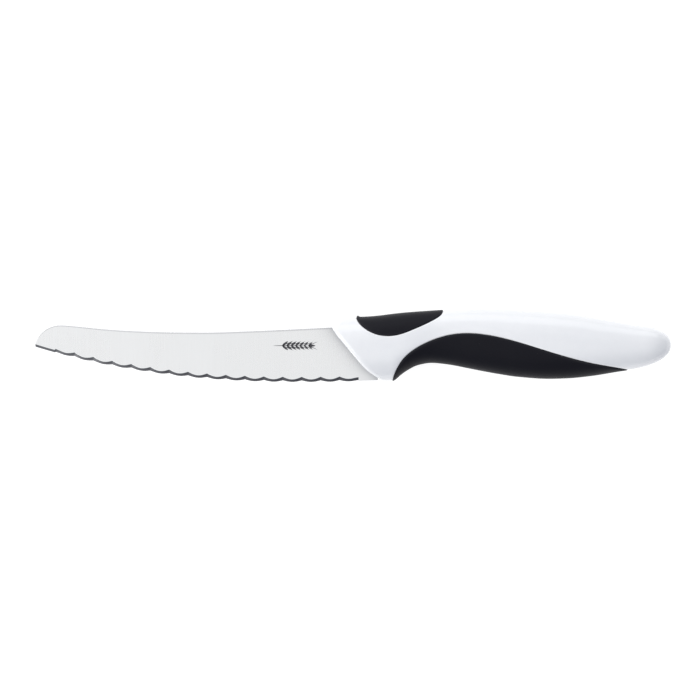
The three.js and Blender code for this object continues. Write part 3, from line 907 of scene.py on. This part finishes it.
def edge_level(x):
    """The height of the cutting edge at x: a shallow belly that rises to the tip."""
    share = np.clip(-x / BLADE_LENGTH, 0, None)
    line = TIP_RISE * share**3.2 - EDGE_DROP * np.sin(math.pi * np.minimum(share / 0.72, 1))
    return line - LOBE_FULLNESS * ease(share / 0.12) * (1 - 0.75 * ease((share - 0.76) / 0.15))


def steel_half(x, y):
    """Half the thickness of the steel, which thins to the edge and to the tip."""
    return EDGE_STOCK / 2 + (STOCK - EDGE_STOCK) / 2 * y / BLADE_HEIGHT + TIP_THINNING / 2 * x / BLADE_LENGTH


tip_x = -BLADE_LENGTH - NOSE_FULLNESS
while blade_top(tip_x) - edge_level(tip_x) < TIP_HEIGHT:
    tip_x += 0.01
STEPS_PER_WAVE = 20
feet = np.concatenate([
    tip_x + (WAVE_START - tip_x) * (1 - np.cos(np.linspace(0, math.pi / 2, 40)))[:-1],
    WAVE_START + np.arange(WAVE_COUNT * STEPS_PER_WAVE) * WAVE_PITCH / STEPS_PER_WAVE,
    [WAVE_END, WAVE_END + 0.02],
    np.linspace(WAVE_END + 0.4, HEEL_END, 16),
])
print(f"blank from {tip_x:.1f} to {HEEL_END} mm, {len(feet)} ribs")

# %% The ribs of the blank
# Rows on the front: the foot, three inside the bevel, its top, then up the face. The next rows go round the spine,
# and the last few run down the back to its foot.
BEVEL_ROWS = np.array([0, 0.3, 0.6, 0.93])
FACE_ROWS = np.array([0, 0.012, 0.03, 0.07, 0.14, 0.24, 0.36, 0.5, 0.64, 0.78, 0.9, 0.97])
STRAIGHT_SHARE = 0.14
PLATE_TUCK = 11.5
PLATE_SLOPE = math.tan(math.radians(COLLAR_SLANT - PLATE_TUCK))
FAN_START = -BLADE_LENGTH * 0.36
BEVEL_HOLLOW = 0.035
# How much lighter the bevel's painted dark gets towards the tip.
TIP_LIGHTENING = 0.09
# Strength and reach of the painted shade on the steel beside the collar.
COLLAR_SHADE = 0.62
COLLAR_SHADE_REACH = 1.9


def blade_rib(foot_x):
    """Corners of one rib, with the numbers for grinding and for the painted shade and highlight on the steel."""
    lean = max((foot_x - FAN_START) / (HEEL_END - FAN_START), 0)
    top_x = foot_x - lean * PLATE_SLOPE * BLADE_HEIGHT
    top_y = float(blade_top(top_x))
    level = float(edge_level(foot_x))
    is_ground = foot_x <= WAVE_END + 0.001
    # The bevel's painted dark: full on the ground ribs, a little lighter towards the tip.
    shade = float(is_ground) * (1 - TIP_LIGHTENING * ease((-foot_x / BLADE_LENGTH - 0.5) / 0.4))
    bevel_y = level + BEVEL_HEIGHT
    kink_y = bevel_y + (top_y - bevel_y) * STRAIGHT_SHARE
    rows = []

    def line(y):
        return foot_x + (top_x - foot_x) * max(y - kink_y, 0) / (top_y - kink_y)

    def row(y, z, foot=0.0, bevel=0.0, face=0.0, ground_and_shade=0.0, edge=0.0, spine=0.0):
        rows.append([line(y), y, z, foot, bevel, face, ground_and_shade, edge, spine])

    foot_half = float(steel_half(foot_x, level))
    bevel_half = float(steel_half(line(bevel_y), bevel_y))
    foot_front = EDGE_LAND - foot_half if is_ground else foot_half
    hollow = BEVEL_HOLLOW if is_ground else 0.0
    for t in BEVEL_ROWS:
        z = foot_front + (bevel_half - foot_front) * t - hollow * math.sin(math.pi * t)
        row(level + BEVEL_HEIGHT * t, z, 1 - t, t, -1 + 2 * t, shade)
    rounding = min(SPINE_ROUND, 0.3 * (top_y - level))
    shoulder = top_y - rounding
    for t in FACE_ROWS:
        y = bevel_y + (shoulder - bevel_y) * t
        # The first face row takes a quarter of the bevel's painted dark; the lowest two face rows carry the painted
        # highlight line.
        row(y, float(steel_half(line(y), y)), 0, max(1 - t / STRAIGHT_SHARE, 0), 1,
            float(is_ground and t == 0) * 0.25, float(is_ground and t < 0.02))
    top_half = float(steel_half(line(shoulder), shoulder))
    for turn in np.linspace(0, math.pi, 9):
        side = round(math.copysign(1, math.cos(turn))) if abs(turn - math.pi / 2) > 0.01 else 0
        z = side * (top_half - rounding) + rounding * math.cos(turn) * abs(side)
        row(shoulder + rounding * math.sin(turn), z, face=side, spine=1.0)
    for t in (0.9, 0.64, 0.36, 0.14, 0.05):
        y = bevel_y + (shoulder - bevel_y) * t
        row(y, -float(steel_half(line(y), y)), max(1 - t / STRAIGHT_SHARE, 0), 0, -1)
    row(level, -foot_half, 1, 0, -1)
    return np.array(rows)


blade_rings = [blade_rib(x) for x in feet]
blade_size = len(blade_rings[0])
every = np.concatenate(blade_rings)
beside_collar = (every[:, 0] - front_line(every[:, 1])) * ALONG_TO_ACROSS
# Of these numbers, the bevel's darkening is a painted reflection, the grey beside the collar painted shade, and the
# line above the bevel a painted highlight.
numbers = {
    "foot": every[:, 3], "bevel": every[:, 4], "face": every[:, 5], "ground_and_shade": every[:, 6],
    "edge_line": every[:, 7], "spine": every[:, 8], "foot_x": np.repeat(feet, blade_size),
    "collar_shade": COLLAR_SHADE * np.exp(np.minimum(beside_collar, 0) / COLLAR_SHADE_REACH),
}
end_faces = [tuple(range(blade_size)), tuple(range(len(every) - blade_size, len(every)))]
blank = make_piece("blade_steel_body", every[:, :3], ring_faces(len(feet), blade_size) + end_faces,
                   30, steel, numbers)

# %% [markdown]
# ## Grinding the wavy edge
# A wheel that is dressed to a wave grinds the front of the edge, and leaves round lobes with sharper notches
# between them. The rule is the same for each wave, so it is a Geometry Nodes tree with named sizes. It measures how
# far into a notch each rib is, lifts the foot and the top of the bevel by that much, and keeps the corners on the
# two planes of the steel.

# %% Helpers for geometry trees


def geometry_tree(name, inputs):
    """A tree from geometry to geometry, with its sizes as named inputs."""
    return new_tree("Geometry", name, {"Geometry": None, **inputs}, {"Geometry": None})


def finish_tree(tree, geometry, material, output):
    """End a tree as every tree here ends: instances made real, and the material set."""
    real = add(tree, "GeometryNodeRealizeInstances", Geometry=geometry)[0]
    painted = add(tree, "GeometryNodeSetMaterial", Geometry=real, Material=material)[0]
    tree.links.new(painted, output["Geometry"])


def run_tree(source, tree, inputs, name):
    """Run a tree on an object with its sizes, and return the result as a plain mesh object."""
    modifier = source.modifiers.new(tree.name, "NODES")
    modifier.node_group = tree
    for item in tree.interface.items_tree:
        if item.in_out == "INPUT" and item.name in inputs:
            modifier[item.identifier] = inputs[item.name]
    mesh = plain_mesh(source)
    mesh.name = name
    source.modifiers.remove(modifier)
    return put_in_scene(name, mesh)


def vector(tree, **parts):
    return add(tree, "ShaderNodeCombineXYZ", **parts)[0]


def stored(tree, label):
    return add(tree, "GeometryNodeInputNamedAttribute", {"data_type": "FLOAT"}, Name=label)[0]


# %% The grinding tree
grinding = {
    "Pitch": WAVE_PITCH,
    "First notch at": WAVE_START,
    "Last notch at": WAVE_END,
    "Notch depth": 0.56,
    "Bevel wave": 0.97,
    "End notch share": 0.5,
    "Flute depth": 0.07,
    "Face taper": (STOCK - EDGE_STOCK) / 2 / BLADE_HEIGHT,
    "Steel": steel,
}
tree, size, result = geometry_tree("grind_wavy_edge", grinding)
foot_x = stored(tree, "foot_x")
into = maths(tree, "SUBTRACT", foot_x, size["First notch at"])
left = maths(tree, "SUBTRACT", size["Last notch at"], foot_x)
to_end = maths(tree, "MINIMUM", into, left)
turn = times(tree, maths(tree, "DIVIDE", into, size["Pitch"]), math.pi)
lobe = maths(tree, "ABSOLUTE", maths(tree, "SINE", turn))
fade = maths(tree, "ADD", maths(tree, "DIVIDE", to_end, size["Pitch"]), size["End notch share"])
fade = maths(tree, "MINIMUM", fade, 1.0)
inside = maths(tree, "GREATER_THAN", to_end, -0.0005)
notch = times(tree, maths(tree, "SUBTRACT", 1.0, lobe), fade, inside)
foot, bevel = stored(tree, "foot"), stored(tree, "bevel")
lift = maths(tree, "MULTIPLY_ADD", bevel, size["Bevel wave"], times(tree, foot, size["Notch depth"]))
lift = times(tree, lift, notch, MM)
drift = times(tree, lift, size["Face taper"], stored(tree, "face"))
flute = times(tree, bevel, foot, size["Flute depth"], notch)
drift = maths(tree, "MULTIPLY_ADD", flute, -4 * MM, drift)
offset = vector(tree, Y=lift, Z=drift)
moved = add(tree, "GeometryNodeSetPosition", Geometry=size["Geometry"], Offset=offset)[0]
finish_tree(tree, moved, size["Steel"], result)
blade = run_tree(blank, tree, grinding, "blade_steel_body_ground")
bpy.data.objects.remove(blank)
print(WAVE_COUNT + 1, "notches ground")

# %% [markdown]
# ## The tang
# The same strip of steel runs on into the handle as a narrow tang, with holes through which the core locks. Nobody
# sees it, but a blade without it would snap off. A filled flat curve with round holes is the quickest way to a
# plate with holes: thickened, then turned into a mesh and joined to the blade.

# %% The tang
TANG_WIDTH = 8.0
TANG_TO_BUTT = 42.0
CORE_START = 12.0
HOLE_RADIUS = 2.0
HOLE_SPACING = 16.0
tang_end = butt_x - TANG_TO_BUTT


def tang_middle(x):
    start, stop = section(CORE_START + TANG_WIDTH)[0], section(tang_end)[0]
    return start + (stop - start) * (x - CORE_START) / (tang_end - CORE_START)


half = TANG_WIDTH / 2
tang_outline = [
    (-5.0, 6.0), (0, 6.5), (CORE_START, tang_middle(CORE_START) - half), (tang_end - 2, tang_middle(tang_end) - half),
    (tang_end, tang_middle(tang_end) - half + 2), (tang_end, tang_middle(tang_end) + half - 2),
    (tang_end - 2, tang_middle(tang_end) + half), (CORE_START, tang_middle(CORE_START) + half), (-11.5, 17.6),
]
tang_curve = bpy.data.curves.new("tang_outline", "CURVE")
tang_curve.dimensions = "2D"
tang_curve.fill_mode = "BOTH"
tang_curve.extrude = STOCK / 2 * MM
outlines = [tang_outline]
hole_x = CORE_START + HOLE_SPACING / 2
while hole_x <= tang_end - 2 * HOLE_RADIUS:
    turn = np.linspace(0, 2 * math.pi, 33)[:-1]
    outlines.append(list(zip(hole_x + HOLE_RADIUS * np.cos(turn), tang_middle(hole_x) + HOLE_RADIUS * np.sin(turn))))
    hole_x += HOLE_SPACING
for outline in outlines:
    spline = tang_curve.splines.new("POLY")
    spline.points.add(len(outline) - 1)
    spline.use_cyclic_u = True
    for point, (x, y) in zip(spline.points, outline):
        point.co = (*to_place([x, y, 0]), 1)
tang_form = put_in_scene("tang_outline", tang_curve)
tang_mesh = plain_mesh(tang_form)
bpy.data.objects.remove(tang_form)

# A flat curve keeps its plate at height 0, so its corners are lifted to the middle of the steel.
heights = [vertex.co.z for vertex in tang_mesh.vertices]
for vertex in tang_mesh.vertices:
    vertex.co.z += heel.z - (min(heights) + max(heights)) / 2
finish_mesh(tang_mesh, 30)
paint(tang_mesh, steel)
joined = bmesh.new()
joined.from_mesh(blade.data)
joined.from_mesh(tang_mesh)
joined.to_mesh(blade.data)
joined.free()
blade.name = "blade_and_tang"
print(len(outlines) - 1, "lock holes in the tang")

# %% [markdown]
# ## The etched mark
# Knives carry a small mark that acid has etched into the steel. This one is a plain ear of wheat, to say that the
# knife is for bread. The grains repeat along a stem, so a Geometry Nodes tree places them: points along a line,
# a grain on each point, turned to the left and to the right in turn.

# %% One grain
MARK_LENGTH = 15.5
MARK_MIDDLE = (-31.2, 12.8)
GRAINS = 7
MARK_HEIGHT = 0.012


def grain_form():
    """A flat closed grain, 1 long and 0.3 wide, with its foot at the origin."""
    shape = bmesh.new()
    around = []
    for turn in np.linspace(0, 2 * math.pi, 15)[:-1]:
        x = 0.5 - 0.5 * math.cos(turn)
        y = 0.165 * math.sin(turn) * (1.15 - 0.45 * x)
        around.append(shape.verts.new((x, y, 0)))
    base = shape.faces.new(around)
    raised = bmesh.ops.extrude_face_region(shape, geom=[base])
    for vertex in raised["geom"]:
        if isinstance(vertex, bmesh.types.BMVert):
            vertex.co.z = 1.0
    bmesh.ops.recalc_face_normals(shape, faces=shape.faces)
    mesh = bpy.data.meshes.new("one_grain")
    shape.to_mesh(mesh)
    shape.free()
    return put_in_scene("one_grain", mesh)


one_grain = grain_form()
print(len(one_grain.data.polygons), "faces in one grain")

# %% The ear of wheat
ear = {
    "Length": MARK_LENGTH * MM,
    "Grains a side": GRAINS,
    "Grain length": 2.6 * MM,
    "Splay": math.radians(38),
    "Stem width": 0.85 * MM,
    "Awn length": 1.9 * MM,
    "Height": MARK_HEIGHT * MM,
    "Ink": etched,
}
tree, size, result = geometry_tree("ear_of_wheat", ear)
one = size["Geometry"]
start = vector(tree, X=times(tree, size["Length"], 0.22))
stop = vector(tree, X=times(tree, size["Length"], 0.84))
points = add(tree, "GeometryNodeMeshLine", {"mode": "END_POINTS"}, Count=size["Grains a side"],
             Start_Location=start, Offset=stop)[0]
number = add(tree, "GeometryNodeInputIndex")[0]
long = times(tree, size["Grain length"], maths(tree, "MULTIPLY_ADD", number, -0.055, 1.0))
grain_scale = vector(tree, X=long, Y=long, Z=size["Height"])
awn_scale = vector(tree, X=maths(tree, "ADD", long, size["Awn length"]),
                   Y=times(tree, size["Stem width"], 0.8), Z=size["Height"])
tip_scale = vector(tree, X=size["Grain length"], Y=size["Grain length"], Z=size["Height"])
stem_scale = vector(tree, X=times(tree, size["Length"], 0.86), Y=size["Stem width"], Z=size["Height"])
parts = []
for scale, share in ((grain_scale, 1.0), (awn_scale, 0.62), (grain_scale, -1.0), (awn_scale, -0.62)):
    turn = vector(tree, Z=times(tree, size["Splay"], share))
    parts.append(add(tree, "GeometryNodeInstanceOnPoints", Points=points, Instance=one, Rotation=turn,
                     Scale=scale)[0])
parts.append(add(tree, "GeometryNodeTransform", Geometry=one, Translation=stop, Scale=tip_scale)[0])
parts.append(add(tree, "GeometryNodeTransform", Geometry=one, Scale=stem_scale)[0])
join = tree.nodes.new("GeometryNodeJoinGeometry")
for part in parts:
    tree.links.new(part, join.inputs[0])
finish_tree(tree, join.outputs[0], size["Ink"], result)
mark = run_tree(one_grain, tree, ear, "etched_ear_of_wheat")
bpy.data.objects.remove(one_grain)
print("ear with", 2 * GRAINS + 1, "grains")

# %% Laying the mark on the steel
for vertex in mark.data.vertices:
    x = MARK_MIDDLE[0] - MARK_LENGTH / 2 + vertex.co.x / MM
    y = MARK_MIDDLE[1] + vertex.co.y / MM
    z = steel_half(x, y) + vertex.co.z / MM - MARK_HEIGHT * 0.4
    vertex.co = to_place([x, y, z])
mark.data.update()
print(len(mark.data.polygons), "faces in the mark")

# %% [markdown]
# ## What each piece stands for
# Every new piece takes the place of its engineering solid and rides with the knife. The core keeps its engineering
# shape, because its form is right and it is hidden, and only gets its plastic.

# %% Pieces and bodies
for piece, node, slot in (
    (body, "handle_body", "white_plastic"),
    (thumb_pad, "thumb_grip", "soft_grip"),
    (belly_pad, "belly_grip", "soft_grip"),
    (blade, "blade", "blade_steel"),
    (mark, "blade", "blade_steel"),
):
    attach(piece, "root")
    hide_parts(node)
paint(bpy.data.objects["tang_core"].data, core_grey)
print("five pieces ride on the root")

# %% [markdown]
# ## Studio
# Steel shows its surroundings more than itself, so the surroundings are designed first. The floor is a pale sheet
# that is lit from below, which leaves almost no shadow. Overhead it is bright, which makes the flat of the blade
# light. Low down, on the side of the cutting edge and the butt, it is darker and cooler: the slope of the bevel and
# the lower side of the handle pick that up. A long soft box over the spine draws a clear highlight along the
# handle, and a small light card beyond the tip lightens the end of the blade.

# %% Floor
floor_mesh = bpy.data.meshes.new("floor")
reach = 3.0
floor_mesh.from_pydata([(-reach, -reach, 0), (reach, -reach, 0), (reach, reach, 0), (-reach, reach, 0)], [],
                       [(0, 1, 2, 3)])
floor = put_in_scene("floor", floor_mesh)
floor_material, tree, place, shader = new_material("pale_floor")
sheet = use(tree, grain, place, Cells_per_metre=40.0, Depth=1.0e-6,
            Base_roughness=0.7, Roughness_swing=0.1)
tone = mix_colour(tree, sheet["Cells"], (0.34, 0.34, 0.34, 1), (0.36, 0.36, 0.36, 1))
dress(tree, shader, tone, sheet["Roughness"],
      Specular_IOR_Level=0.0, Emission_Color=(1, 1, 1, 1), Emission_Strength=0.86)
paint(floor_mesh, floor_material)
print("floor", 2 * reach, "m wide")

# %% Surroundings
DARK_SIDE = (0.74, -0.67)
world = bpy.data.worlds.new("studio")
bpy.context.scene.world = world
world.use_nodes = True
tree = world.node_tree
background = tree.nodes["Background"]
direction = add(tree, "ShaderNodeSeparateXYZ", Vector=add(tree, "ShaderNodeTexCoord")["Generated"])
off_zenith = maths(tree, "ARCCOSINE", maths(tree, "MINIMUM", direction["Z"], 1.0))
off_zenith = maths(tree, "DIVIDE", off_zenith, math.pi / 2)
ramp_colour = add(tree, "ShaderNodeValToRGB", Fac=off_zenith)[0]
ramp = ramp_colour.node.color_ramp
stops = [(0.0, (1.02, 1.02, 1.02)), (0.22, (0.98, 0.98, 0.985)), (0.45, (0.74, 0.75, 0.77)),
         (0.8, (0.62, 0.64, 0.67)), (1.0, (0.9, 0.9, 0.9))]
while len(ramp.elements) < len(stops):
    ramp.elements.new(0.5)
for element, (spot, colour) in zip(ramp.elements, stops):
    element.position = spot
    element.color = (*colour, 1)
sideways = times(tree, direction["Y"], DARK_SIDE[1])
sideways = maths(tree, "MULTIPLY_ADD", direction["X"], DARK_SIDE[0], sideways)
darkness = add(tree, "ShaderNodeMapRange", {"interpolation_type": "SMOOTHSTEP"}, Value=sideways,
               input_1=0.22, input_2=0.55)[0]
shade = mix_colour(tree, darkness, (1, 1, 1, 1), (0.56, 0.59, 0.65, 1))
tree.links.new(mix_colour(tree, 1.0, ramp_colour, shade, "MULTIPLY"), background.inputs["Color"])
background.inputs["Strength"].default_value = 0.92
print("surroundings in", len(stops), "bands from overhead to the horizon")

# %% Lights
def area_light(name, width, depth, energy, location, rotation):
    """A flat, evenly bright rectangle, as wide and deep as given in metres."""
    light = bpy.data.lights.new(name, "AREA")
    light.shape = "RECTANGLE"
    light.size = width
    light.size_y = depth
    light.energy = energy
    lamp = put_in_scene(name, light)
    lamp.location = location
    lamp.rotation_euler = rotation


tilt = math.radians(62)
area_light("soft_box", 1.7, 0.62, 4.5, (0.04, math.sin(tilt), math.cos(tilt)), (-tilt, 0, 0))
card_place = Vector((-0.86, -0.22, 0.62))
area_light("tip_card", 0.9, 0.9, 6.0, card_place, card_place.to_track_quat("Z", "Y").to_euler())
print("studio set")
